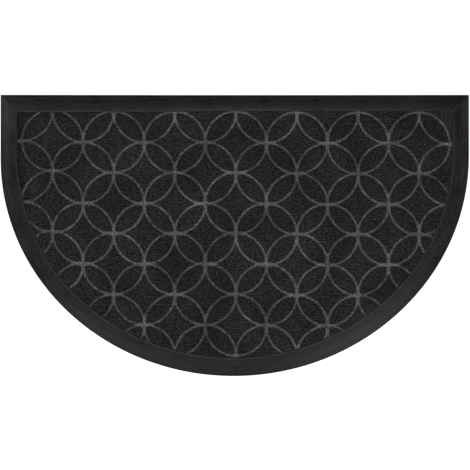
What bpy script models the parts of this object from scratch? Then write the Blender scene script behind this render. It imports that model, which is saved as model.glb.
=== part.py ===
"""Half moon doormat: a moulded rubber base with one sheet of pressed carpet in its tray.

Metres, +Z up. The origin is on the floor, in the middle of the mat's box. +Y points to the
straight edge, which lies at the door sill.
"""

import math

import bmesh
import bpy

# Outline: two short straight sides below the straight edge, closed by half an ellipse whose
# round end leans a little to -X
WIDTH = 0.750
STRAIGHT_SIDE = 0.100
CURVE_DEPTH = 0.350
CURVE_LEAN = 0.0018
CURVE_STEPS = 96

DEPTH = STRAIGHT_SIDE + CURVE_DEPTH
STRAIGHT_EDGE_Y = DEPTH / 2
CURVE_CENTRE_Y = STRAIGHT_EDGE_Y - STRAIGHT_SIDE

# Rubber base: the section of its border, from the outer lip to the tray
BORDER_SECTION = (
    # from the mat's edge, height above the floor
    (0.0000, 0.0017),
    (0.0006, 0.0022),
    (0.0055, 0.0031),
    (0.0130, 0.0049),
    (0.0230, 0.0064),
    (0.0243, 0.0068),
    (0.0264, 0.0068),
    (0.0270, 0.0063),
    (0.0272, 0.0032),
)
TRAY_FROM_EDGE, TRAY_HEIGHT = BORDER_SECTION[-1]

# The tray lies a little towards the straight edge and is a little wider, so the border's width varies
SHOULDER_FROM_EDGE = 0.0230
TRAY_SHIFT_Y = 0.0017
TRAY_WIDENING = 0.0013

# Carpet: a thin pressed ground along the lines and full pile on the pads between them
CLEARANCE = 0.0003
CARPET_FROM_EDGE = TRAY_FROM_EDGE + CLEARANCE
CARPET_UNDERSIDE = TRAY_HEIGHT + CLEARANCE
CARPET_THICKNESS = 0.0030
LINE_DEPTH = 0.0015
CARPET_TOP = CARPET_UNDERSIDE + CARPET_THICKNESS
LINE_FLOOR = CARPET_TOP - LINE_DEPTH

# Ring lattice: rings sit on every second point of a grid of half pitches
HALF_PITCH_X = 0.0489
HALF_PITCH_Y = 0.04865
RING_RADIUS = 0.04905
LINE_WIDTH = 0.0028
FIRST_RING_X = -0.2920
FIRST_RING_Y = 0.1484
COLUMNS = range(-1, 14)
ROWS = range(-1, 8)
PETAL_ARC_STEPS = 6
STAR_ARC_STEPS = 5
OUTER_ARC_STEPS = 12

# Pads: their walls lean in from the line's floor to the top, and their roots sink in the ground
PAD_ROOT = CARPET_UNDERSIDE + 0.0004
PAD_LEAN_START = LINE_FLOOR - 0.0003
PAD_LEAN = 0.0004

# Modelling aids
WELD_DISTANCE = 0.00001
SHARP_ANGLE = math.radians(30)

# The sheet was laid a little out of true: how far each half column sits towards the straight edge
COLUMN_LIFT = {
    # half column: lift
    -1: 0.0032,
    0: 0.0036,
    1: 0.0009,
    2: 0.0006,
    3: 0.0005,
    4: 0.0004,
    5: 0.0005,
    6: 0.0007,
    7: -0.0003,
    8: -0.0007,
    9: -0.0010,
    10: -0.0011,
    11: -0.0008,
    12: -0.0008,
    13: -0.0021,
}

RUBBER_COLOUR = (0.028, 0.028, 0.028, 1.0)
RUBBER_ROUGHNESS = 0.55
CARPET_COLOUR = (0.017, 0.017, 0.017, 1.0)
CARPET_ROUGHNESS = 0.95


def clear_objects():
    """Empty the open file of its objects."""
    for old in list(bpy.data.objects):
        bpy.data.objects.remove(old, do_unlink=True)


def new_collection(name):
    """Make a collection in the scene."""
    collection = bpy.data.collections.new(name)
    bpy.context.scene.collection.children.link(collection)
    return collection


def plain_material(name, colour, roughness):
    """Make a non-metallic material."""
    material = bpy.data.materials.new(name)
    material.use_nodes = True
    shader = material.node_tree.nodes["Principled BSDF"]
    shader.inputs["Base Color"].default_value = colour
    shader.inputs["Roughness"].default_value = roughness
    shader.inputs["Metallic"].default_value = 0.0
    material.diffuse_color = colour
    return material


def rubber_material():
    """Moulded black rubber."""
    return plain_material("black_rubber", RUBBER_COLOUR, RUBBER_ROUGHNESS)


def carpet_material():
    """Black needle-punched fibre."""
    return plain_material("black_carpet", CARPET_COLOUR, CARPET_ROUGHNESS)


def outline(from_edge):
    """Points of the mat's outline, counter-clockwise, moved in from its edge."""
    half_width = WIDTH / 2 - from_edge
    curve_depth = CURVE_DEPTH - from_edge
    top = STRAIGHT_EDGE_Y - from_edge
    points = [(half_width, top), (-half_width, top)]
    for step in range(CURVE_STEPS + 1):
        angle = math.pi + math.pi * step / CURVE_STEPS
        x = half_width * math.cos(angle) + CURVE_LEAN * math.sin(angle)
        y = CURVE_CENTRE_Y + curve_depth * math.sin(angle)
        points.append((x, y))
    return points


def tray_shift(x):
    """How far a point of the tray's rim lies from its place in an even border, along X and Y."""
    return TRAY_WIDENING * x / (WIDTH / 2), TRAY_SHIFT_Y


def shift_share(from_edge):
    """How much of the tray's shift a line of the border takes: none at the edge, all at the shoulder."""
    return min(from_edge / SHOULDER_FROM_EDGE, 1.0)


def sheet_outline():
    """Points of the carpet's outline, in the shifted tray."""
    points = []
    for x, y in outline(CARPET_FROM_EDGE):
        shift_x, shift_y = tray_shift(x)
        points.append((x + shift_x, y + shift_y))
    return points


def object_from_bmesh(name, bm, collection, material=None):
    """Turn a bmesh into a linked object and free it."""
    bmesh.ops.recalc_face_normals(bm, faces=bm.faces)
    mesh = bpy.data.meshes.new(name)
    bm.to_mesh(mesh)
    bm.free()
    if material is not None:
        mesh.materials.append(material)
    made = bpy.data.objects.new(name, mesh)
    collection.objects.link(made)
    return made


def as_cutter(made):
    """Mark an object that only shapes another one."""
    made.hide_render = True
    made.display_type = "WIRE"
    return made


def raise_faces(bm, faces, height):
    """Extrude flat faces straight up and give back their tops."""
    extruded = bmesh.ops.extrude_face_region(bm, geom=faces)["geom"]
    corners = [item for item in extruded if isinstance(item, bmesh.types.BMVert)]
    bmesh.ops.translate(bm, verts=corners, vec=(0.0, 0.0, height))
    return [item for item in extruded if isinstance(item, bmesh.types.BMFace)]


def shift_rim(faces, share):
    """Move the corners of faces by a share of the tray's shift."""
    for corner in {corner for face in faces for corner in face.verts}:
        shift_x, shift_y = tray_shift(corner.co.x)
        corner.co.x += shift_x * share
        corner.co.y += shift_y * share


def make_rubber_base(collection):
    """The moulding: a flat sheet whose rim is inset step by step into lip, bevel, shoulder and tray."""
    bm = bmesh.new()
    underside = bm.faces.new([bm.verts.new((x, y, 0.0)) for x, y in outline(0.0)])
    tops = raise_faces(bm, [underside], BORDER_SECTION[0][1])
    for (last_edge, last_height), (edge, height) in zip(BORDER_SECTION, BORDER_SECTION[1:]):
        bmesh.ops.inset_region(
            bm,
            faces=tops,
            thickness=edge - last_edge,
            depth=height - last_height,
            use_boundary=True,
            use_even_offset=True,
        )
        shift_rim(tops, shift_share(edge) - shift_share(last_edge))
    base = object_from_bmesh("rubber_base", bm, collection, rubber_material())
    base.data.shade_smooth()
    base.data.set_sharp_from_angle(angle=SHARP_ANGLE)
    return base


def lattice_point(column, row):
    """A point of the ring lattice, in half pitches from the first whole ring."""
    return FIRST_RING_X + column * HALF_PITCH_X, FIRST_RING_Y - row * HALF_PITCH_Y


def lift_at(x):
    """How far the sheet sits towards the straight edge at x."""
    place = (x - FIRST_RING_X) / HALF_PITCH_X
    place = min(max(place, min(COLUMN_LIFT)), max(COLUMN_LIFT))
    left = min(math.floor(place), max(COLUMN_LIFT) - 1)
    share = place - left
    return COLUMN_LIFT[left] * (1.0 - share) + COLUMN_LIFT[left + 1] * share


def crossing(centre, radius, other_centre, other_radius, turn):
    """Where two circles cross, on the left of the way between their centres for turn 1, or the right."""
    apart = math.dist(centre, other_centre)
    along = (radius**2 - other_radius**2 + apart**2) / (2 * apart)
    aside = math.sqrt(radius**2 - along**2) * turn
    way_x = (other_centre[0] - centre[0]) / apart
    way_y = (other_centre[1] - centre[1]) / apart
    return centre[0] + way_x * along - way_y * aside, centre[1] + way_y * along + way_x * aside


def arc(centre, start, end, steps, turn):
    """Points from start to just before end, round a centre: turn 1 is counter-clockwise, -1 clockwise."""
    radius = math.dist(centre, start)
    first = math.atan2(start[1] - centre[1], start[0] - centre[0])
    last = math.atan2(end[1] - centre[1], end[0] - centre[0])
    sweep = (last - first) * turn % (2 * math.pi) * turn
    points = []
    for step in range(steps):
        angle = first + sweep * step / steps
        points.append((centre[0] + radius * math.cos(angle), centre[1] + radius * math.sin(angle)))
    return points


def petal(column, row, row_step):
    """The lens where ring (column, row) overlaps its neighbour to the right, up or down."""
    radius = RING_RADIUS - LINE_WIDTH / 2
    here = lattice_point(column, row)
    there = lattice_point(column + 1, row + row_step)
    left = crossing(here, radius, there, radius, 1)
    right = crossing(here, radius, there, radius, -1)
    return arc(here, right, left, PETAL_ARC_STEPS, 1) + arc(there, left, right, PETAL_ARC_STEPS, 1)


def star(column, row):
    """The four-pointed pad in the middle of a ring, between the ring's four petals."""
    radius = RING_RADIUS + LINE_WIDTH / 2
    corners = ((1, 1), (1, -1), (-1, -1), (-1, 1))
    around = [lattice_point(column + across, row + down) for across, down in corners]
    tips = [crossing(around[i - 1], radius, around[i], radius, 1) for i in range(len(around))]
    points = []
    for i, centre in enumerate(around):
        points += arc(centre, tips[i], tips[(i + 1) % len(tips)], STAR_ARC_STEPS, -1)
    return points


def outer_star(column, row, side):
    """The pad of a ring in the last column on a side: no ring crosses it there, so it fills its ring."""
    inner_radius = RING_RADIUS - LINE_WIDTH / 2
    radius = RING_RADIUS + LINE_WIDTH / 2
    centre = lattice_point(column, row)
    before = lattice_point(column - side, row - side)
    after = lattice_point(column - side, row + side)
    tip = crossing(before, radius, after, radius, 1)
    start = crossing(centre, inner_radius, after, radius, 1)
    end = crossing(centre, inner_radius, before, radius, -1)
    points = arc(after, tip, start, STAR_ARC_STEPS, -1)
    points += arc(centre, start, end, OUTER_ARC_STEPS, 1)
    return points + arc(before, end, tip, STAR_ARC_STEPS, -1)


def pad_outlines():
    """The outlines of all the pads between the lines, counter-clockwise."""
    outlines = []
    for column in COLUMNS:
        for row in ROWS:
            if (column + row) % 2:
                continue
            if column == COLUMNS[0]:
                outlines.append(outer_star(column, row, -1))
            elif column == COLUMNS[-1]:
                outlines.append(outer_star(column, row, 1))
            else:
                outlines.append(star(column, row))
            for row_step in (-1, 1):
                if column + 1 in COLUMNS and row + row_step in ROWS:
                    outlines.append(petal(column, row, row_step))
    return outlines


def make_pads(collection):
    """All the pads, as leaning-walled blocks that run on past the edge of the sheet."""
    bm = bmesh.new()
    roots = []
    for points in pad_outlines():
        corners = [bm.verts.new((x, y + lift_at(x), PAD_ROOT)) for x, y in points]
        roots.append(bm.faces.new(corners))
    tops = raise_faces(bm, roots, PAD_LEAN_START - PAD_ROOT)
    bmesh.ops.inset_region(
        bm,
        faces=tops,
        thickness=PAD_LEAN,
        depth=CARPET_TOP - PAD_LEAN_START,
        use_boundary=True,
        use_even_offset=True,
    )
    return as_cutter(object_from_bmesh("pads", bm, collection))


def make_sheet_outline(collection):
    """A tall block with the carpet's outline, which trims the sheet to the tray."""
    curve = bpy.data.curves.new("sheet_outline", "CURVE")
    curve.dimensions = "2D"
    curve.fill_mode = "BOTH"
    curve.extrude = CARPET_TOP
    spline = curve.splines.new("POLY")
    points = sheet_outline()
    spline.points.add(len(points) - 1)
    for point, (x, y) in zip(spline.points, points):
        point.co = (x, y, 0.0, 1.0)
    spline.use_cyclic_u = True
    drawn = bpy.data.objects.new("sheet_outline_curve", curve)
    drawn.location.z = CARPET_TOP / 2
    collection.objects.link(drawn)
    bpy.context.view_layer.update()

    evaluated = drawn.evaluated_get(bpy.context.evaluated_depsgraph_get())
    mesh = bpy.data.meshes.new_from_object(evaluated)
    bm = bmesh.new()
    bm.from_mesh(mesh)
    bmesh.ops.remove_doubles(bm, verts=bm.verts, dist=WELD_DISTANCE)
    bmesh.ops.recalc_face_normals(bm, faces=bm.faces)
    bm.to_mesh(mesh)
    bm.free()
    trim = bpy.data.objects.new("sheet_outline", mesh)
    trim.matrix_world = drawn.matrix_world
    collection.objects.link(trim)
    bpy.data.objects.remove(drawn, do_unlink=True)
    return as_cutter(trim)


def add_boolean(made, name, operation, other):
    """Join or trim an object with another one."""
    boolean = made.modifiers.new(name, "BOOLEAN")
    boolean.operation = operation
    boolean.solver = "EXACT"
    boolean.object = other


def make_carpet_field(collection, cutters):
    """The pressed sheet: a thin ground with the pads standing on it, trimmed to the tray."""
    bpy.ops.mesh.primitive_cube_add(size=1.0, location=(0.0, 0.0, (CARPET_UNDERSIDE + LINE_FLOOR) / 2))
    sheet = bpy.context.object
    sheet.name = "carpet_field"
    sheet.data.name = "carpet_field"
    sheet.scale = (WIDTH, DEPTH, LINE_FLOOR - CARPET_UNDERSIDE)
    bpy.ops.object.transform_apply(location=False, rotation=False, scale=True)
    for used in list(sheet.users_collection):
        used.objects.unlink(sheet)
    collection.objects.link(sheet)
    sheet.data.materials.append(carpet_material())
    add_boolean(sheet, "raise_pads", "UNION", make_pads(cutters))
    add_boolean(sheet, "trim_to_tray", "INTERSECT", make_sheet_outline(cutters))
    return sheet


def main():
    """Build the doormat."""
    clear_objects()
    doormat = new_collection("half_moon_doormat")
    cutters = new_collection("cutters")
    make_rubber_base(doormat)
    make_carpet_field(doormat, cutters)


main()
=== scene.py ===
"""Half moon doormat: the looks of the rubber moulding and of the pressed carpet in its tray.

Metres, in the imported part's frame. +X runs along the straight edge, +Y points to it, +Z is up.
"""

import math

import bpy
import numpy as np
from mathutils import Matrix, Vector, noise
from mathutils.geometry import delaunay_2d_cdt


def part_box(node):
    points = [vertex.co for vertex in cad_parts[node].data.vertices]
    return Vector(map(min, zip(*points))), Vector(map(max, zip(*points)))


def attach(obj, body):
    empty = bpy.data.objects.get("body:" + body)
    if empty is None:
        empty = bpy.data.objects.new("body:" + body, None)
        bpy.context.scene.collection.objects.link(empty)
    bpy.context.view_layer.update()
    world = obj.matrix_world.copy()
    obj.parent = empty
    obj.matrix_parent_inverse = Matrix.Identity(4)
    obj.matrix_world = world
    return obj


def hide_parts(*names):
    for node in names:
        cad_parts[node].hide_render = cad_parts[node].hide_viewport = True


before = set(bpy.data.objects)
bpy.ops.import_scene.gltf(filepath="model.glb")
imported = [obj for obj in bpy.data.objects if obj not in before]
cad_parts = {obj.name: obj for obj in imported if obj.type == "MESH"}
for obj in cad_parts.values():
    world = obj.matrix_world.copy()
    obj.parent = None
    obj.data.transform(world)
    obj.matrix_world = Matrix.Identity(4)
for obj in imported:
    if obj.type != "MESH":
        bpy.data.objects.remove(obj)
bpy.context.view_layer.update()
base_low, base_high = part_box("rubber_base")
sheet_low, sheet_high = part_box("carpet_field")

# Outline: straight sides below the straight edge, closed by half an ellipse that leans to -X
HALF_WIDTH = (base_high[0] - base_low[0]) / 2
STRAIGHT_EDGE_Y = base_high[1]
STRAIGHT_SIDE = 0.100
CURVE_CENTRE_Y = STRAIGHT_EDGE_Y - STRAIGHT_SIDE
CURVE_DEPTH = CURVE_CENTRE_Y - base_low[1]
CURVE_LEAN = 0.0018
CORNER_ROUND = 0.0008
CURVE_STEPS = 300
EDGE_STEPS = 120
SIDE_STEPS = 18

# Unevenness of the outline: the straight edge sags at its middle, and the curve swells at the lower left
EDGE_SAG = 0.0003
SAG_REACH = 0.010
SWELL = 0.0005
SWELL_TOWARDS = math.radians(225)

# Rubber border in section: from the floor up the lip, over the crowned bevel and the shoulder, into the tray
LIP_SECTION = (
    # from the mat's edge, height
    (0.0002, 0.00000),
    (0.0000, 0.00030),
    (0.0000, 0.00140),
    (0.0001, 0.00175),
    (0.0004, 0.00205),
    (0.0009, 0.00228),
    (0.0020, 0.00253),
    (0.0040, 0.00300),
    (0.0052, 0.00327),
    (0.0058, 0.00330),
)
SHOULDER_SECTION = (
    # from the mat's edge, height
    (0.0222, 0.00645),
    (0.0230, 0.00658),
    (0.0238, 0.00668),
    (0.0245, 0.00674),
    (0.0252, 0.00678),
    (0.0259, 0.00680),
    (0.0264, 0.00679),
    (0.0268, 0.00671),
    (0.0270, 0.00650),
    (0.0271, 0.00580),
    (0.0272, 0.00320),
)
BEVEL_START = LIP_SECTION[-1][0]
BEVEL_END = SHOULDER_SECTION[0][0]
BEVEL_ROWS = 9
BEVEL_CROWN = 0.0004
TRAY_FROM_EDGE = SHOULDER_SECTION[-1][0]

# The bevel and shoulder waver a little in height
WAVER_HEIGHT = 0.00012
WAVER_FROM = 0.0009
WAVER_TO = 0.0265
WAVERS_PER_METRE = 22
WAVER_LAYER = 0.3

# The tray lies a little towards the straight edge and is a little wider, so the border's width varies
TRAY_SHIFT_Y = 0.0017
TRAY_WIDENING = 0.0013
TRAY_DIP = (
    # x, how far the tray's straight edge dips below its place
    (-0.33, 0.0023),
    (-0.13, 0.0020),
    (-0.05, 0.0003),
    (0.29, 0.0004),
    (0.35, 0.0016),
)
TRAY_DIP_RISE = (0.15, 0.19)
CURVE_EXTRA = (
    # degrees round the curve from +X to -X, how much wider the border is there
    (0, 0.0),
    (10, 0.0018),
    (20, 0.0020),
    (30, 0.0015),
    (60, 0.0013),
    (75, 0.0006),
    (100, 0.0006),
    (125, 0.0004),
    (148, 0.0001),
    (162, 0.0017),
    (172, 0.0016),
    (180, 0.0),
)

# A point's distance from the curve's edge is found in a few rounds, and is never more than this
INSET_ROUNDS = 6
LARGEST_INSET = 0.3

# Painted light and shade on the rubber: 0 leaves it as it is, 1 is paler by the whole range of its mottle,
# below 0 is darker
LIP_PAINTED_SHADE = (
    # from the mat's edge, painted shade on the lip
    (0.0013, -1.2),
    (0.0024, 0.0),
)
NARROW_RIDGE_PAINTED_LIGHT = (
    # from the mat's edge, painted highlight on the ridge on the curve and at the sides, painted shade just
    # outside it
    (0.0200, 0.0),
    (0.0222, -0.25),
    (0.0238, -0.25),
    (0.0250, 1.0),
    (0.0264, 1.0),
    (0.0268, 0.0),
)
NARROW_RIDGE_SHARE = (
    # x, strength of the narrow ridge's painted light
    (-0.340, 0.4),
    (-0.270, 1.0),
    (0.240, 1.0),
    (0.310, 0.5),
    (0.350, 0.2),
    (0.370, 0.0),
)
BROAD_RIDGE_HIGHLIGHT = (
    # from the mat's edge, painted highlight on the ridge along the straight edge
    (0.0196, 0.0),
    (0.0222, 0.8),
    (0.0238, 1.0),
    (0.0268, 1.2),
    (0.0271, 0.0),
)
BROAD_RIDGE_SHARE = (
    # x, strength of the broad ridge's painted highlight
    (-0.200, 0.4),
    (-0.130, 0.9),
    (0.050, 0.9),
    (0.120, 0.45),
)
INNER_RIM_HIGHLIGHT = (
    # from the mat's edge, tone of the thin painted highlight line inside the broad ridge
    (0.0257, 0.0),
    (0.0262, 1.0),
    (0.0270, 1.0),
    (0.0271, 0.0),
)
INNER_RIM_SHARE = (
    # x, strength of the thin highlight line
    (-0.345, 0.8),
    (-0.335, 1.6),
    (-0.200, 1.4),
    (-0.160, 0.0),
)
STRAIGHT_PAINTED_LIGHT = (
    # x and y of a place along the straight edge, its reach, its tone: painted reflection above 0, painted
    # shade below
    (-0.372, 0.225, 0.030, 0.6),
    (0.355, 0.218, 0.034, -1.4),
)
CURVE_PAINTED_LIGHT = (
    # x and y of a place along the curve or a side, its reach, its tone: painted reflection above 0, painted
    # shade below
    (-0.372, 0.190, 0.030, 0.8),
    (-0.235, -0.147, 0.060, 0.5),
    (0.217, -0.160, 0.070, 0.7),
    (-0.370, 0.130, 0.060, -0.45),
    (0.050, -0.215, 0.080, -0.4),
    (0.380, 0.190, 0.018, 1.4),
    (0.356, 0.190, 0.018, -1.0),
)

# Painted highlight on the mitre crease at the upper right corner, a thin pale line across the border
CREASE_HIGHLIGHT = 1.0
CREASE_HALF_WIDTH = 0.0005
CREASE_FROM_Y = 0.19

# Ring lattice: rings sit on every second point of a grid of half pitches
HALF_PITCH_X = 0.0489
HALF_PITCH_Y = 0.04865
RING_RADIUS = 0.04905
LINE_WIDTH = 0.0028
FIRST_RING_X = -0.2920
FIRST_RING_Y = 0.1484
COLUMNS = range(-1, 14)
ROWS = range(-1, 8)
ROW_SHIFT = {
    # row: how far its rings lie towards the straight edge from their even place
    1: -0.0008,
    2: -0.0004,
    3: -0.0008,
    4: 0.0003,
    6: -0.0010,
    7: -0.0009,
}
COLUMN_LIFT = {
    # column: how far the lattice drifts towards the straight edge there
    -1: 0.0032,
    0: 0.0036,
    1: 0.0009,
    2: 0.0006,
    3: 0.0005,
    4: 0.0004,
    5: 0.0005,
    6: 0.0007,
    7: -0.0003,
    8: -0.0007,
    9: -0.0010,
    10: -0.0011,
    11: -0.0008,
    12: -0.0008,
    13: -0.0021,
}

# Carpet: pads of full pile stand between pressed lines, with a narrow gap to the tray's wall
CARPET_GAP = 0.0003
CARPET_FROM_EDGE = TRAY_FROM_EDGE + CARPET_GAP
CARPET_UNDERSIDE = sheet_low[2]
CARPET_TOP = sheet_high[2]
LINE_DEPTH = 0.0015
LINE_GROOVE = 0.00018

# Pads in section, by distance from the line's edge: a steep wall, a rounded rim and the full pile
PAD_WALL = 0.00035
PAD_RIM = 0.0009
PAD_CROWN = 0.0017
WALL_SHARE = 0.72
RIM_BLEND = 0.0006
PILE_BLEND = 0.0008

# Slow swell of the carpet's face
FACE_SWELL = 0.00006
SWELLS_PER_METRE = 60
SWELL_LAYER = 1.7

# Ribs of the needle-punched sheet, along X
RIB_PITCH = 0.0040
RIB_SAMPLES = 4
RIB_HEIGHT = 0.00045
RIB_SHARPNESS = 0.8

# Fineness of the carpet's mesh: rows inside its rim, points of the pads and lines, and points of the ribs
RIM_ROWS = (0.0, 0.0004, 0.0016)
ARC_SPACING = 0.0030
RING_POINTS = 100
RING_FROM_RIM = 0.0005
CONTOURS_PAST_RIM = 0.004
RIB_POINT_SPACING = 0.0060
SCAN_STEP = 0.00025
MERGE_DISTANCE = 1e-6

# How far the carpet is melted smooth: most where two lines meet, and less towards the left end
PRESSED = (
    # from the line's edge, share pressed
    (-0.0007, 1.0),
    (0.0, 0.6),
    (0.00035, 0.22),
    (0.0009, 0.04),
    (0.0016, 0.0),
)
MEETING_REACH = 0.0022
MEETING_STRENGTH = 1.2
FAINT_SHARE = 0.25
FAINT_LEFT = (0.25, 0.32)

# Darker pile: painted shade beside each line, and darker along the rim at the upper left
PAINTED_LINE_SHADE = 0.3
LINE_SHADE_RISE = (0.0004, 0.0016)
LINE_SHADE_FALL = (0.0030, 0.0050)
RIM_SHADE_FALL = (0.005, 0.011)
RIM_SHADE_LEFT = (0.20, 0.33)
RIM_SHADE_UPPER = (0.02, 0.07)

# Finishes: greys are linear, bumps are in metres
RUBBER_DARK = 0.006
RUBBER_PALE = 0.021
RUBBER_DARKEST_TONE = -0.3
RUBBER_MOTTLE = (0.40, 0.60)
RUBBER_ROUGHNESS = (0.25, 0.41)
RUBBER_SPECULAR = 0.4
RUBBER_BUMP = 0.00014
PILE_GREY = 0.023
# pressed lines: a grey partly their own and partly painted sheen of the smooth melted fibre
MELTED_GREY_AND_SHEEN = 0.127
PILE_ROUGHNESS = 0.95
MELTED_ROUGHNESS = 0.6
CARPET_SPECULAR = 0.12
CARPET_BUMP = 0.0004
RAGGED_EDGE = 1.4
FLOOR_GREY = 0.93
FLOOR_GLOW = 0.7
FLOOR_REACH = 20.0
FLOOR_BELOW = 0.0002

# Lights
WORLD_STRENGTH = 0.02
LIGHT_DISTANCE = 4.0
SOFTBOXES = (
    # name, azimuth and angle from the zenith in degrees, size in metres, watts
    ("overhead", 0, 0, 0.7, 7.0),
    ("high_north_east", 60, 22, 1.2, 1.5),
    ("high_north_west", 120, 22, 1.2, 1.5),
    ("high_south_west", 240, 22, 1.2, 1.0),
    ("high_south_east", 300, 22, 1.2, 3.5),
    ("middle_north_east", 45, 38, 1.5, 7.5),
    ("middle_north_west", 150, 38, 1.5, 12.5),
    ("middle_south_west", 240, 38, 1.5, 6.5),
    ("middle_south_east", 300, 38, 1.5, 11.0),
    ("low_east", 0, 66, 2.0, 50.0),
    ("low_west", 180, 66, 2.0, 45.0),
    ("low_south_west", 225, 66, 2.0, 45.0),
    ("low_south_east", 300, 66, 2.0, 12.0),
)

# Camera: straight above, with the photograph's frame
METRES_PER_PIXEL = 0.001602
FRAME_PIXELS = 470
MAT_CENTRE_PIXEL = (234.85, 235.4)
CAMERA_HEIGHT = 6.0
CAMERA_REACH = 50.0
SENSOR_WIDTH = 36.0

# A Mix node's colour inputs and its colour output, which share their names with others
MIX_FIRST = 6
MIX_SECOND = 7
MIX_RESULT = 2


def read_table(table, at):
    """A two-column table's second value at its first: straight between the rows and level past its ends."""
    return np.interp(at, *zip(*table))


def smooth_step(value, low, high):
    """0 below low, 1 above high and smooth between."""
    share = np.clip((value - low) / (high - low), 0.0, 1.0)
    return share * share * (3 - 2 * share)


def make_object(name, vertices, faces, smooth=True):
    """Make a mesh object in the scene."""
    mesh = bpy.data.meshes.new(name)
    mesh.from_pydata([tuple(v) for v in vertices], [], faces)
    mesh.validate()
    if smooth:
        mesh.shade_smooth()
    made = bpy.data.objects.new(name, mesh)
    bpy.context.scene.collection.objects.link(made)
    return made


def add_attribute(made, name, values):
    """Store one number a point for the material."""
    attribute = made.data.attributes.new(name, "FLOAT", "POINT")
    attribute.data.foreach_set("value", np.asarray(values, dtype=np.float32))


# Outline and tray


def tray_shift(x, y):
    """How far a point of the tray's rim lies from its place in an even border, along X and Y."""
    angle = np.arctan2(CURVE_CENTRE_Y - y, x)
    inward = read_table(CURVE_EXTRA, np.degrees(angle))
    dip = read_table(TRAY_DIP, x) * smooth_step(y, *TRAY_DIP_RISE)
    along_x = TRAY_WIDENING * x / HALF_WIDTH - inward * np.cos(angle)
    along_y = TRAY_SHIFT_Y - dip + inward * np.sin(angle)
    return along_x, along_y


def uneven(points, from_edge):
    """Sag and swell an outline near the mat's edge, and shift it near the tray."""
    share = max(0.0, 1.0 - from_edge / BEVEL_END)
    x, y = points.T
    straight = smooth_step(y, STRAIGHT_EDGE_Y - SAG_REACH - from_edge, STRAIGHT_EDGE_Y - from_edge)
    sag = EDGE_SAG * (1 - (x / HALF_WIDTH) ** 2)
    angle = np.arctan2(y - CURVE_CENTRE_Y, x)
    swell = SWELL * np.clip(np.cos(angle - SWELL_TOWARDS), 0.0, 1.0) * share
    shift_x, shift_y = tray_shift(x, y)
    x = x + swell * np.cos(angle) + shift_x * (1.0 - share)
    y = y + swell * np.sin(angle) - sag * straight * share + shift_y * (1.0 - share)
    return np.column_stack([x, y])


def outline_points(from_edge):
    """The mat's outline, counter-clockwise from the corner at +X, moved in from its edge."""
    half = HALF_WIDTH - from_edge
    top = STRAIGHT_EDGE_Y - from_edge
    depth = CURVE_DEPTH - from_edge
    run = np.linspace(half - CORNER_ROUND, -half + CORNER_ROUND, EDGE_STEPS + 1)
    points = [(half, top)]
    points += [(x, top) for x in run]
    points.append((-half, top))
    fall = np.linspace(top - CORNER_ROUND, CURVE_CENTRE_Y, SIDE_STEPS + 1)
    points += [(-half, y) for y in fall[:-1]]
    for step in range(CURVE_STEPS + 1):
        angle = math.pi + math.pi * step / CURVE_STEPS
        x = half * math.cos(angle) + CURVE_LEAN * math.sin(angle)
        points.append((x, CURVE_CENTRE_Y + depth * math.sin(angle)))
    points += [(half, y) for y in fall[-2::-1]]
    return uneven(np.array(points), from_edge)


def edge_distance(x, y):
    """Distance of a point in the tray from the mat's edge, as the outline is moved in and shifted."""
    shift_x, shift_y = tray_shift(x, y)
    x = x - shift_x
    y = y - shift_y
    straight = np.minimum(HALF_WIDTH - np.abs(x), STRAIGHT_EDGE_Y - y)
    drop = np.maximum(CURVE_CENTRE_Y - y, 0.0)
    aside = x + CURVE_LEAN * drop / CURVE_DEPTH
    inset = np.zeros(np.shape(x))
    for _ in range(INSET_ROUNDS):
        half = HALF_WIDTH - inset
        depth = CURVE_DEPTH - inset
        reached = np.sqrt((aside / half) ** 2 + (drop / depth) ** 2)
        inset = np.minimum(inset + (1.0 - reached) * np.minimum(half, depth), LARGEST_INSET)
    return np.where(drop > 0, np.minimum(straight, inset), straight)


# Rubber moulding


def border_section():
    """The whole section of the border: lip, crowned bevel and shoulder."""
    start_height = LIP_SECTION[-1][1]
    end_height = SHOULDER_SECTION[0][1]
    bevel = []
    for row in range(1, BEVEL_ROWS):
        share = row / BEVEL_ROWS
        crown = BEVEL_CROWN * 4 * share * (1 - share)
        from_edge = BEVEL_START + (BEVEL_END - BEVEL_START) * share
        bevel.append((from_edge, start_height + (end_height - start_height) * share + crown))
    return list(LIP_SECTION) + bevel + list(SHOULDER_SECTION)


def waver_bevel(vertices, across):
    """Give the bevel the slight unevenness of a moulding."""
    for vertex, from_edge in zip(vertices, across):
        if WAVER_FROM < from_edge < WAVER_TO:
            place = Vector((vertex[0] * WAVERS_PER_METRE, vertex[1] * WAVERS_PER_METRE, WAVER_LAYER))
            vertex[2] += WAVER_HEIGHT * noise.noise(place)


def rubber_painted_light(vertices, across):
    """Painted light and shade on the rubber: how much paler or darker it is painted at each point."""
    x, y, _ = vertices.T
    from_straight_edge = STRAIGHT_EDGE_Y - y
    on_straight = from_straight_edge < HALF_WIDTH - np.abs(x)
    narrow = read_table(NARROW_RIDGE_PAINTED_LIGHT, across) * read_table(NARROW_RIDGE_SHARE, x)
    broad = read_table(BROAD_RIDGE_HIGHLIGHT, across) * read_table(BROAD_RIDGE_SHARE, x)
    broad += read_table(INNER_RIM_HIGHLIGHT, across) * read_table(INNER_RIM_SHARE, x)
    tone = read_table(LIP_PAINTED_SHADE, across) + np.where(on_straight, broad, narrow)
    for places, belongs in ((STRAIGHT_PAINTED_LIGHT, on_straight), (CURVE_PAINTED_LIGHT, ~on_straight)):
        for place_x, place_y, reach, change in places:
            away = np.hypot(x - place_x, y - place_y)
            tone += change * np.exp(-((away / reach) ** 2)) * belongs
    from_crease = np.abs(from_straight_edge - HALF_WIDTH + x)
    return tone + CREASE_HIGHLIGHT * (from_crease < CREASE_HALF_WIDTH) * (y > CREASE_FROM_Y)


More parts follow.
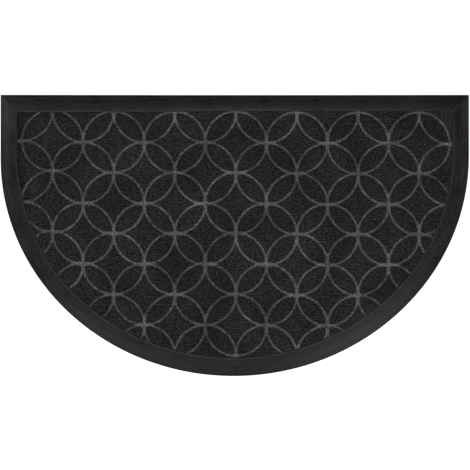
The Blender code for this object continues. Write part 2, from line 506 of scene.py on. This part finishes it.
def make_rubber():
    """The rubber moulding: rings of the outline joined from the floor up and down into the tray."""
    section = border_section()
    rings = []
    across = []
    along = []
    for from_edge, height in section:
        points = outline_points(from_edge)
        steps = np.hypot(*np.diff(points, axis=0).T)
        rings.append(np.column_stack([points, np.full(len(points), height)]))
        across.append(np.full(len(points), from_edge))
        along.append(np.concatenate([[0.0], np.cumsum(steps)]))
    count = len(rings[0])
    vertices = np.concatenate(rings)
    across = np.concatenate(across)
    waver_bevel(vertices, across)

    underside = list(range(count))[::-1]
    last = (len(section) - 1) * count
    tray = list(range(last, last + count))
    faces = [underside]
    for low in range(0, last, count):
        high = low + count
        for i in range(count):
            j = (i + 1) % count
            faces.append((low + i, low + j, high + j, high + i))
    faces.append(tray)

    made = make_object("rubber_moulding", vertices, faces)
    add_attribute(made, "across", across)
    add_attribute(made, "along", np.concatenate(along))
    # the pale attribute carries painted highlights, reflections and shade
    add_attribute(made, "pale", rubber_painted_light(vertices, across))
    return made


# Ring lattice and pads


def lattice_point(column, row):
    """A point of the lattice, in half pitches from the first whole ring."""
    x = FIRST_RING_X + column * HALF_PITCH_X
    y = FIRST_RING_Y - row * HALF_PITCH_Y + ROW_SHIFT.get(row, 0.0)
    return x, y


def ring_places():
    """Columns and rows of the lattice that hold a ring."""
    return [(column, row) for column in COLUMNS for row in ROWS if (column + row) % 2 == 0]


def ring_centres():
    """Centres of all the rings, before the lattice's drift."""
    return [lattice_point(column, row) for column, row in ring_places()]


def lift_at(x):
    """How far the lattice drifts towards the straight edge at x."""
    places = [FIRST_RING_X + column * HALF_PITCH_X for column in COLUMN_LIFT]
    return np.interp(x, places, list(COLUMN_LIFT.values()))


def line_distance(x, y):
    """Distance from the middle of the nearest ring line."""
    level = y - lift_at(x)
    nearest = np.full(np.shape(x), 1.0)
    for centre_x, centre_y in ring_centres():
        away = np.abs(np.hypot(x - centre_x, level - centre_y) - RING_RADIUS)
        nearest = np.minimum(nearest, away)
    return nearest


def crossing(centre, radius, other, other_radius, turn):
    """Where two circles cross, left of the way between their centres for turn 1, right for -1."""
    apart = math.dist(centre, other)
    along = (radius**2 - other_radius**2 + apart**2) / (2 * apart)
    aside = math.sqrt(radius**2 - along**2) * turn
    way_x = (other[0] - centre[0]) / apart
    way_y = (other[1] - centre[1]) / apart
    return centre[0] + way_x * along - way_y * aside, centre[1] + way_y * along + way_x * aside


def arc(centre, start, end, turn):
    """Points from start to just before end, round a centre."""
    radius = math.dist(centre, start)
    first = math.atan2(start[1] - centre[1], start[0] - centre[0])
    last = math.atan2(end[1] - centre[1], end[0] - centre[0])
    sweep = (last - first) * turn % (2 * math.pi) * turn
    steps = max(2, math.ceil(abs(sweep) * radius / ARC_SPACING))
    angles = first + sweep * np.arange(steps) / steps
    return [(centre[0] + radius * math.cos(a), centre[1] + radius * math.sin(a)) for a in angles]


def petal(column, row, row_step, gap):
    """The lens where a ring overlaps its neighbour to the right, half a gap inside both lines."""
    radius = RING_RADIUS - gap / 2
    here = lattice_point(column, row)
    there = lattice_point(column + 1, row + row_step)
    left = crossing(here, radius, there, radius, 1)
    right = crossing(here, radius, there, radius, -1)
    return arc(here, right, left, 1) + arc(there, left, right, 1)


def star(column, row, gap):
    """The four-pointed pad in the middle of a ring."""
    radius = RING_RADIUS + gap / 2
    corners = ((1, 1), (1, -1), (-1, -1), (-1, 1))
    around = [lattice_point(column + across, row + down) for across, down in corners]
    tips = [crossing(around[i - 1], radius, around[i], radius, 1) for i in range(4)]
    points = []
    for i, centre in enumerate(around):
        points += arc(centre, tips[i], tips[(i + 1) % 4], -1)
    return points


def outer_star(column, row, side, gap):
    """The pad of a ring in the last column on a side, which fills its ring."""
    inner = RING_RADIUS - gap / 2
    radius = RING_RADIUS + gap / 2
    centre = lattice_point(column, row)
    before = lattice_point(column - side, row - side)
    after = lattice_point(column - side, row + side)
    tip = crossing(before, radius, after, radius, 1)
    start = crossing(centre, inner, after, radius, 1)
    end = crossing(centre, inner, before, radius, -1)
    return arc(after, tip, start, -1) + arc(centre, start, end, 1) + arc(before, end, tip, -1)


def pad_contours(gap):
    """The outlines of all the pads, with that gap between neighbours."""
    contours = []
    for column, row in ring_places():
        if column == COLUMNS[0]:
            contours.append(outer_star(column, row, -1, gap))
        elif column == COLUMNS[-1]:
            contours.append(outer_star(column, row, 1, gap))
        else:
            contours.append(star(column, row, gap))
        for row_step in (-1, 1):
            if column + 1 in COLUMNS and row + row_step in ROWS:
                contours.append(petal(column, row, row_step, gap))
    lifted = []
    for contour in contours:
        x, y = np.array(contour).T
        lifted.append(np.column_stack([x, y + lift_at(x)]))
    return lifted


# Carpet from above


class Plan:
    """Points of the carpet seen from above, and the edges that its triangles have to keep."""

    def __init__(self):
        self.points = []
        self.edges = []

    def add_points(self, points):
        """Add points with no edges, and return the number of the first."""
        first = len(self.points)
        self.points.extend(map(tuple, points))
        return first

    def add_line(self, points):
        """Add an open line."""
        first = self.add_points(points)
        self.edges.extend((first + i, first + i + 1) for i in range(len(points) - 1))

    def add_loop(self, loop, kept=slice(None)):
        """Add a closed line, or the stretches of it whose points are kept."""
        numbers = np.full(len(loop), -1)
        numbers[kept] = self.add_points(loop[kept]) + np.arange(len(loop[kept]))
        for here, after in zip(numbers.tolist(), np.roll(numbers, -1).tolist()):
            if here >= 0 and after >= 0:
                self.edges.append((here, after))


def ring_points():
    """Points along the middles of all the lines inside the rim."""
    points = []
    angles = np.linspace(0, 2 * math.pi, RING_POINTS, endpoint=False)
    for centre_x, centre_y in ring_centres():
        x = centre_x + RING_RADIUS * np.cos(angles)
        y = centre_y + RING_RADIUS * np.sin(angles) + lift_at(x)
        inside = edge_distance(x, y) > CARPET_FROM_EDGE + RING_FROM_RIM
        points += zip(x[inside], y[inside])
    return points


def rib_runs():
    """Runs of points along every quarter of a rib, from edge to edge of each pad."""
    step = RIB_PITCH / RIB_SAMPLES
    xs = np.arange(-HALF_WIDTH, HALF_WIDTH, SCAN_STEP)
    rows = np.arange(math.ceil(sheet_low[1] / step), math.floor(sheet_high[1] / step) + 1)
    runs = []
    for row in rows:
        y = row * step
        level = np.full(xs.shape, y)
        off_lines = line_distance(xs, level) > LINE_WIDTH / 2 + PAD_CROWN
        off_rim = edge_distance(xs, level) > CARPET_FROM_EDGE + PAD_CROWN
        inside = (off_lines & off_rim).astype(int)
        flips = np.flatnonzero(np.diff(np.concatenate([[0], inside, [0]])))
        for start, end in zip(flips[::2], flips[1::2]):
            first = xs[start]
            last = xs[end - 1]
            count = max(1, math.ceil((last - first) / RIB_POINT_SPACING)) + 1
            runs.append([(x, y) for x in np.linspace(first, last, count)])
    return runs


def carpet_plan():
    """The carpet from above: its rim, the pads' contours, the middles of the lines and the ribs."""
    plan = Plan()
    for inward in RIM_ROWS:
        plan.add_loop(outline_points(CARPET_FROM_EDGE + inward))
    for from_line in (0.0, PAD_WALL, PAD_RIM):
        for contour in pad_contours(LINE_WIDTH + 2 * from_line):
            plan.add_loop(contour, edge_distance(*contour.T) > CARPET_FROM_EDGE - CONTOURS_PAST_RIM)
    plan.add_points(ring_points())
    for run in rib_runs():
        plan.add_line(run)
    return plan


def inside_loop(points, loop):
    """Which points lie inside a closed loop: a ray from each along +X crosses it an odd number of times."""
    x, y = points.T
    inside = np.zeros(len(points), dtype=bool)
    for (x1, y1), (x2, y2) in zip(loop, np.roll(loop, -1, axis=0)):
        if y1 != y2:
            crossed = (y1 > y) != (y2 > y)
            inside ^= crossed & (x < x1 + (y - y1) * (x2 - x1) / (y2 - y1))
    return inside


def triangulated(plan, rim):
    """The plan's points and triangles inside the rim."""
    flat = [Vector(point) for point in plan.points]
    points, _, triangles, *_ = delaunay_2d_cdt(flat, plan.edges, [], 0, MERGE_DISTANCE, False)
    places = np.array([tuple(point) for point in points])
    triangles = np.array(triangles)
    middles = places[triangles].mean(axis=1)
    used, kept = np.unique(triangles[inside_loop(middles, rim)], return_inverse=True)
    return places[used], kept.reshape(-1, 3)


def rim_of(triangles):
    """The points round the rim of a sheet of triangles, in order."""
    sides = np.concatenate([triangles[:, [0, 1]], triangles[:, [1, 2]], triangles[:, [2, 0]]]).tolist()
    directed = {(a, b) for a, b in sides}
    following = {a: b for a, b in sides if (b, a) not in directed}
    rim = [next(iter(following))]
    while following[rim[-1]] != rim[0]:
        rim.append(following[rim[-1]])
    return rim


# Carpet in relief


def rib_wave(y):
    """0 in the valleys between ribs and 1 on their crests."""
    return np.abs(np.sin(math.pi * y / RIB_PITCH)) ** RIB_SHARPNESS


def carpet_height(x, y, from_line):
    """Height of the carpet's face."""
    floor = CARPET_TOP - LINE_DEPTH
    past_wall = np.clip(from_line / PAD_WALL, 0.0, 1.0)
    past_rim = smooth_step(from_line, PAD_WALL, PAD_RIM + RIM_BLEND)
    rise = WALL_SHARE * past_wall + (1.0 - WALL_SHARE) * past_rim
    groove = LINE_GROOVE * np.clip(1.0 + from_line / (LINE_WIDTH / 2), 0.0, 1.0) ** 2
    level = floor + groove * (1 - rise) + (CARPET_TOP - RIB_HEIGHT / 2 - floor) * rise
    full_pile = smooth_step(from_line, PAD_WALL, PAD_CROWN + PILE_BLEND)
    ribs = RIB_HEIGHT * (rib_wave(y) - 0.5) * full_pile
    places = np.column_stack([x * SWELLS_PER_METRE, y * SWELLS_PER_METRE, np.full(len(x), SWELL_LAYER)])
    swell = np.array([noise.noise(Vector(place)) for place in places])
    return level + ribs + FACE_SWELL * swell


def pressed_share(x, y):
    """How far the carpet is pressed by all the ring lines near a point: most where two lines meet."""
    level = y - lift_at(x)
    total = np.zeros(np.shape(x))
    near_sum = np.zeros(np.shape(x))
    near_squares = np.zeros(np.shape(x))
    for centre_x, centre_y in ring_centres():
        from_line = np.abs(np.hypot(x - centre_x, level - centre_y) - RING_RADIUS) - LINE_WIDTH / 2
        total += read_table(PRESSED, from_line)
        near = np.clip(1.0 - from_line / MEETING_REACH, 0.0, 1.0)
        near_sum += near
        near_squares += near**2
    between_lines = (near_sum**2 - near_squares) / 2
    faint = FAINT_SHARE * smooth_step(-x, *FAINT_LEFT)
    return np.minimum(total + MEETING_STRENGTH * between_lines, 1.0) * (1.0 - faint)


def pile_shade(x, y, from_line):
    """How much darker the pile is: painted shade beside each line, and darker along the rim at the upper
    left.
    """
    from_rim = edge_distance(x, y) - CARPET_FROM_EDGE
    along_rim = 1.0 - smooth_step(from_rim, *RIM_SHADE_FALL)
    upper_left = smooth_step(-x, *RIM_SHADE_LEFT) * smooth_step(y, *RIM_SHADE_UPPER)
    beside_line = smooth_step(from_line, *LINE_SHADE_RISE) * (1.0 - smooth_step(from_line, *LINE_SHADE_FALL))
    return np.clip(along_rim * upper_left + PAINTED_LINE_SHADE * beside_line, 0.0, 1.0)


def make_carpet():
    """The carpet: one closed sheet with pressed lines, rounded pads and ribs."""
    places, triangles = triangulated(carpet_plan(), outline_points(CARPET_FROM_EDGE))
    x, y = places.T
    from_line = line_distance(x, y) - LINE_WIDTH / 2
    top = np.column_stack([x, y, carpet_height(x, y, from_line)])
    rim = rim_of(triangles)
    under = np.column_stack([places[rim], np.full(len(rim), CARPET_UNDERSIDE)])

    count = len(top)
    faces = triangles.tolist()
    for i in range(len(rim)):
        j = (i + 1) % len(rim)
        faces.append((rim[j], rim[i], count + i, count + j))
    faces.append([count + i for i in range(len(rim))][::-1])

    made = make_object("ribbed_carpet", np.concatenate([top, under]), faces)
    on_face = {
        "pressed": pressed_share(x, y),
        "rib": rib_wave(y),
        "shaded": pile_shade(x, y, from_line),
    }
    for name, values in on_face.items():
        add_attribute(made, name, np.concatenate([values, np.zeros(len(rim))]))
    return made


# Materials


def grey(level):
    """An opaque grey."""
    return (level, level, level, 1.0)


class Nodes:
    """Short ways to build a material's nodes."""

    def __init__(self, name):
        self.material = bpy.data.materials.new(name)
        self.material.use_nodes = True
        self.tree = self.material.node_tree
        self.shader = self.tree.nodes["Principled BSDF"]

    def put(self, value, into):
        """Give an input a value, or link it where the value is another node's output."""
        if isinstance(value, bpy.types.NodeSocket):
            self.tree.links.new(value, into)
        else:
            into.default_value = value

    def add(self, kind, **settings):
        """Add a node. A setting goes to the input of its name, or else to the node itself."""
        node = self.tree.nodes.new(kind)
        for name, value in settings.items():
            if name in node.inputs:
                self.put(value, node.inputs[name])
            else:
                setattr(node, name, value)
        return node

    def shade(self, settings):
        """Set the shader's inputs by name, and return the finished material."""
        for name, value in settings.items():
            self.put(value, self.shader.inputs[name])
        return self.material

    def attribute(self, name):
        """A number stored on the mesh's points."""
        return self.add("ShaderNodeAttribute", attribute_name=name).outputs["Fac"]

    def noise(self, scale, detail=2.0):
        """Noise over the object, with features about 1/scale metres wide along each axis."""
        coordinates = self.add("ShaderNodeTexCoord").outputs["Object"]
        place = self.add("ShaderNodeMapping", Vector=coordinates, Scale=scale).outputs["Vector"]
        return self.add("ShaderNodeTexNoise", Vector=place, Scale=1.0, Detail=detail).outputs["Fac"]

    def strip_noise(self, along_scale, across_scale):
        """Noise drawn out along the border, from its two strip coordinates."""
        along = self.math("MULTIPLY", self.attribute("along"), along_scale)
        across = self.math("MULTIPLY", self.attribute("across"), across_scale)
        place = self.add("ShaderNodeCombineXYZ", X=along, Y=across).outputs["Vector"]
        return self.add("ShaderNodeTexNoise", Vector=place, Scale=1.0, Detail=2.0).outputs["Fac"]

    def ramp(self, factor, given, wanted):
        """Map a number from one range to another, held at its ends."""
        ranges = {"From Min": given[0], "From Max": given[1], "To Min": wanted[0], "To Max": wanted[1]}
        return self.add("ShaderNodeMapRange", Value=factor, **ranges).outputs["Result"]

    def math(self, operation, first, second):
        """Arithmetic on two outputs or numbers."""
        node = self.add("ShaderNodeMath", operation=operation)
        self.put(first, node.inputs[0])
        self.put(second, node.inputs[1])
        return node.outputs["Value"]

    def weighted(self, *terms):
        """The sum of outputs, each times its weight."""
        total = 0.0
        for term, weight in terms:
            total = self.math("ADD", total, self.math("MULTIPLY", term, weight))
        return total

    def product(self, *factors):
        """The product of outputs."""
        total = 1.0
        for factor in factors:
            total = self.math("MULTIPLY", total, factor)
        return total

    def blend(self, factor, first, second, clamped=False):
        """Blend between two colours."""
        node = self.add("ShaderNodeMix", data_type="RGBA", clamp_factor=clamped, Factor=factor)
        self.put(first, node.inputs[MIX_FIRST])
        self.put(second, node.inputs[MIX_SECOND])
        return node.outputs[MIX_RESULT]

    def bump(self, height, distance):
        """The surface's normal with a bump of that distance."""
        return self.add("ShaderNodeBump", Strength=1.0, Distance=distance, Height=height).outputs["Normal"]


def rubber_material():
    """Moulded black rubber: satin, with faint streaks and a fine skin, and painted highlights and shade."""
    nodes = Nodes("moulded_rubber")
    cloud = nodes.noise((34, 34, 34), detail=4.0)
    streak = nodes.strip_noise(along_scale=26, across_scale=650)
    grain = nodes.noise((600, 600, 600))
    mottle = nodes.weighted((cloud, 0.18), (streak, 0.32), (grain, 0.5))
    # the pale attribute adds painted highlights, reflections and shade to the mottle
    tone = nodes.math("ADD", nodes.ramp(mottle, RUBBER_MOTTLE, (0.0, 1.0)), nodes.attribute("pale"))
    tone = nodes.math("MAXIMUM", tone, RUBBER_DARKEST_TONE)
    skin = nodes.weighted((grain, 1.0), (streak, 0.8))
    settings = {
        "Base Color": nodes.blend(tone, grey(RUBBER_DARK), grey(RUBBER_PALE)),
        "Roughness": nodes.ramp(mottle, RUBBER_MOTTLE, RUBBER_ROUGHNESS),
        "Specular IOR Level": RUBBER_SPECULAR,
        "Normal": nodes.bump(skin, RUBBER_BUMP),
    }
    return nodes.shade(settings)


def carpet_material():
    """Black needle-punched fibre, smoother and lighter where the lines are pressed: their grey is partly
    their own, partly painted sheen.
    """
    nodes = Nodes("needle_punched_carpet")
    fibre = nodes.noise((300, 420, 500))
    speck = nodes.noise((1100, 1100, 1100))
    clump = nodes.noise((360, 360, 360), detail=3.0)
    stretch = nodes.noise((70, 70, 70))
    patch = nodes.noise((14, 14, 14))

    fuzz = nodes.ramp(fibre, (0.32, 0.70), (0.16, 2.02))
    # painted shade in the valleys between the ribs, paler on their crests
    painted_rib_shade = nodes.ramp(nodes.attribute("rib"), (0.0, 1.0), (0.62, 1.25))
    pile_patch = nodes.ramp(patch, (0.3, 0.7), (0.74, 1.26))
    # painted shade beside the lines, and darker pile along the rim at the upper left
    shade = nodes.ramp(nodes.attribute("shaded"), (0.0, 1.0), (1.0, 0.6))
    pile = nodes.product(fuzz, painted_rib_shade, pile_patch, shade)

    melted_patch = nodes.ramp(patch, (0.3, 0.7), (0.7, 1.3))
    melted_stretch = nodes.ramp(stretch, (0.3, 0.7), (0.7, 1.3))
    melted_clump = nodes.ramp(clump, (0.34, 0.66), (0.5, 1.5))
    melted = nodes.product(melted_patch, melted_stretch, melted_clump)

    pressed = nodes.attribute("pressed")
    edge = nodes.math("MULTIPLY", pressed, nodes.math("SUBTRACT", 1.0, pressed))
    ragged = nodes.math("MULTIPLY", edge, nodes.ramp(clump, (0.36, 0.64), (-RAGGED_EDGE, RAGGED_EDGE)))
    share = nodes.math("ADD", pressed, ragged)
    pile_colour = nodes.blend(pile, grey(0.0), grey(PILE_GREY))
    melted_colour_and_sheen = nodes.blend(melted, grey(0.0), grey(MELTED_GREY_AND_SHEEN))
    rough = nodes.weighted((fibre, 0.7), (speck, 0.3))
    settings = {
        "Base Color": nodes.blend(share, pile_colour, melted_colour_and_sheen, clamped=True),
        "Roughness": nodes.ramp(pressed, (0.0, 1.0), (PILE_ROUGHNESS, MELTED_ROUGHNESS)),
        "Specular IOR Level": CARPET_SPECULAR,
        "Normal": nodes.bump(rough, CARPET_BUMP),
    }
    return nodes.shade(settings)


def floor_material():
    """Plain pale floor, lit from within a little so that it stays white beside the mat."""
    settings = {
        "Base Color": grey(FLOOR_GREY),
        "Roughness": 1.0,
        "Specular IOR Level": 0.0,
        "Emission Color": grey(1.0),
        "Emission Strength": FLOOR_GLOW,
    }
    return Nodes("pale_floor").shade(settings)


# Camera, light and floor


def add_camera():
    """Look straight down with a long lens."""
    camera = bpy.data.cameras.new("camera")
    camera.sensor_width = SENSOR_WIDTH
    camera.lens = SENSOR_WIDTH * CAMERA_HEIGHT / (METRES_PER_PIXEL * FRAME_PIXELS)
    camera.clip_end = CAMERA_REACH
    made = bpy.data.objects.new("camera", camera)
    middle = FRAME_PIXELS / 2
    made.location = (
        (middle - MAT_CENTRE_PIXEL[0]) * METRES_PER_PIXEL,
        (MAT_CENTRE_PIXEL[1] - middle) * METRES_PER_PIXEL,
        CAMERA_HEIGHT,
    )
    bpy.context.scene.collection.objects.link(made)
    bpy.context.scene.camera = made


def add_softbox(name, azimuth, from_zenith, size, watts):
    """A square light aimed at the mat: azimuth counter-clockwise from +X, both angles in degrees."""
    light = bpy.data.lights.new(name, "AREA")
    light.shape = "SQUARE"
    light.size = size
    light.energy = watts
    made = bpy.data.objects.new(name, light)
    turn = math.radians(azimuth)
    lean = math.radians(from_zenith)
    way = Vector((math.cos(turn) * math.sin(lean), math.sin(turn) * math.sin(lean), math.cos(lean)))
    made.location = way * LIGHT_DISTANCE
    made.rotation_euler = (-way).to_track_quat("-Z", "Y").to_euler()
    bpy.context.scene.collection.objects.link(made)


def add_lights():
    """Soft studio light: the low lights whiten the floor, the high ones shine on the bevel."""
    world = bpy.data.worlds.new("studio")
    world.use_nodes = True
    background = world.node_tree.nodes["Background"]
    background.inputs["Color"].default_value = grey(1.0)
    background.inputs["Strength"].default_value = WORLD_STRENGTH
    bpy.context.scene.world = world
    for softbox in SOFTBOXES:
        add_softbox(*softbox)


def add_floor():
    """The plain floor under the mat."""
    signs = ((-1, -1), (1, -1), (1, 1), (-1, 1))
    corners = [(FLOOR_REACH * x, FLOOR_REACH * y, -FLOOR_BELOW) for x, y in signs]
    made = make_object("floor", corners, [(0, 1, 2, 3)], smooth=False)
    made.data.materials.append(floor_material())


def main():
    """Dress the part and light it."""
    bpy.context.scene.view_settings.view_transform = "Standard"
    add_camera()
    rubber = make_rubber()
    rubber.data.materials.append(rubber_material())
    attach(rubber, "root")
    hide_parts("rubber_base")
    carpet = make_carpet()
    carpet.data.materials.append(carpet_material())
    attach(carpet, "root")
    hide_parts("carpet_field")
    add_floor()
    add_lights()


main()
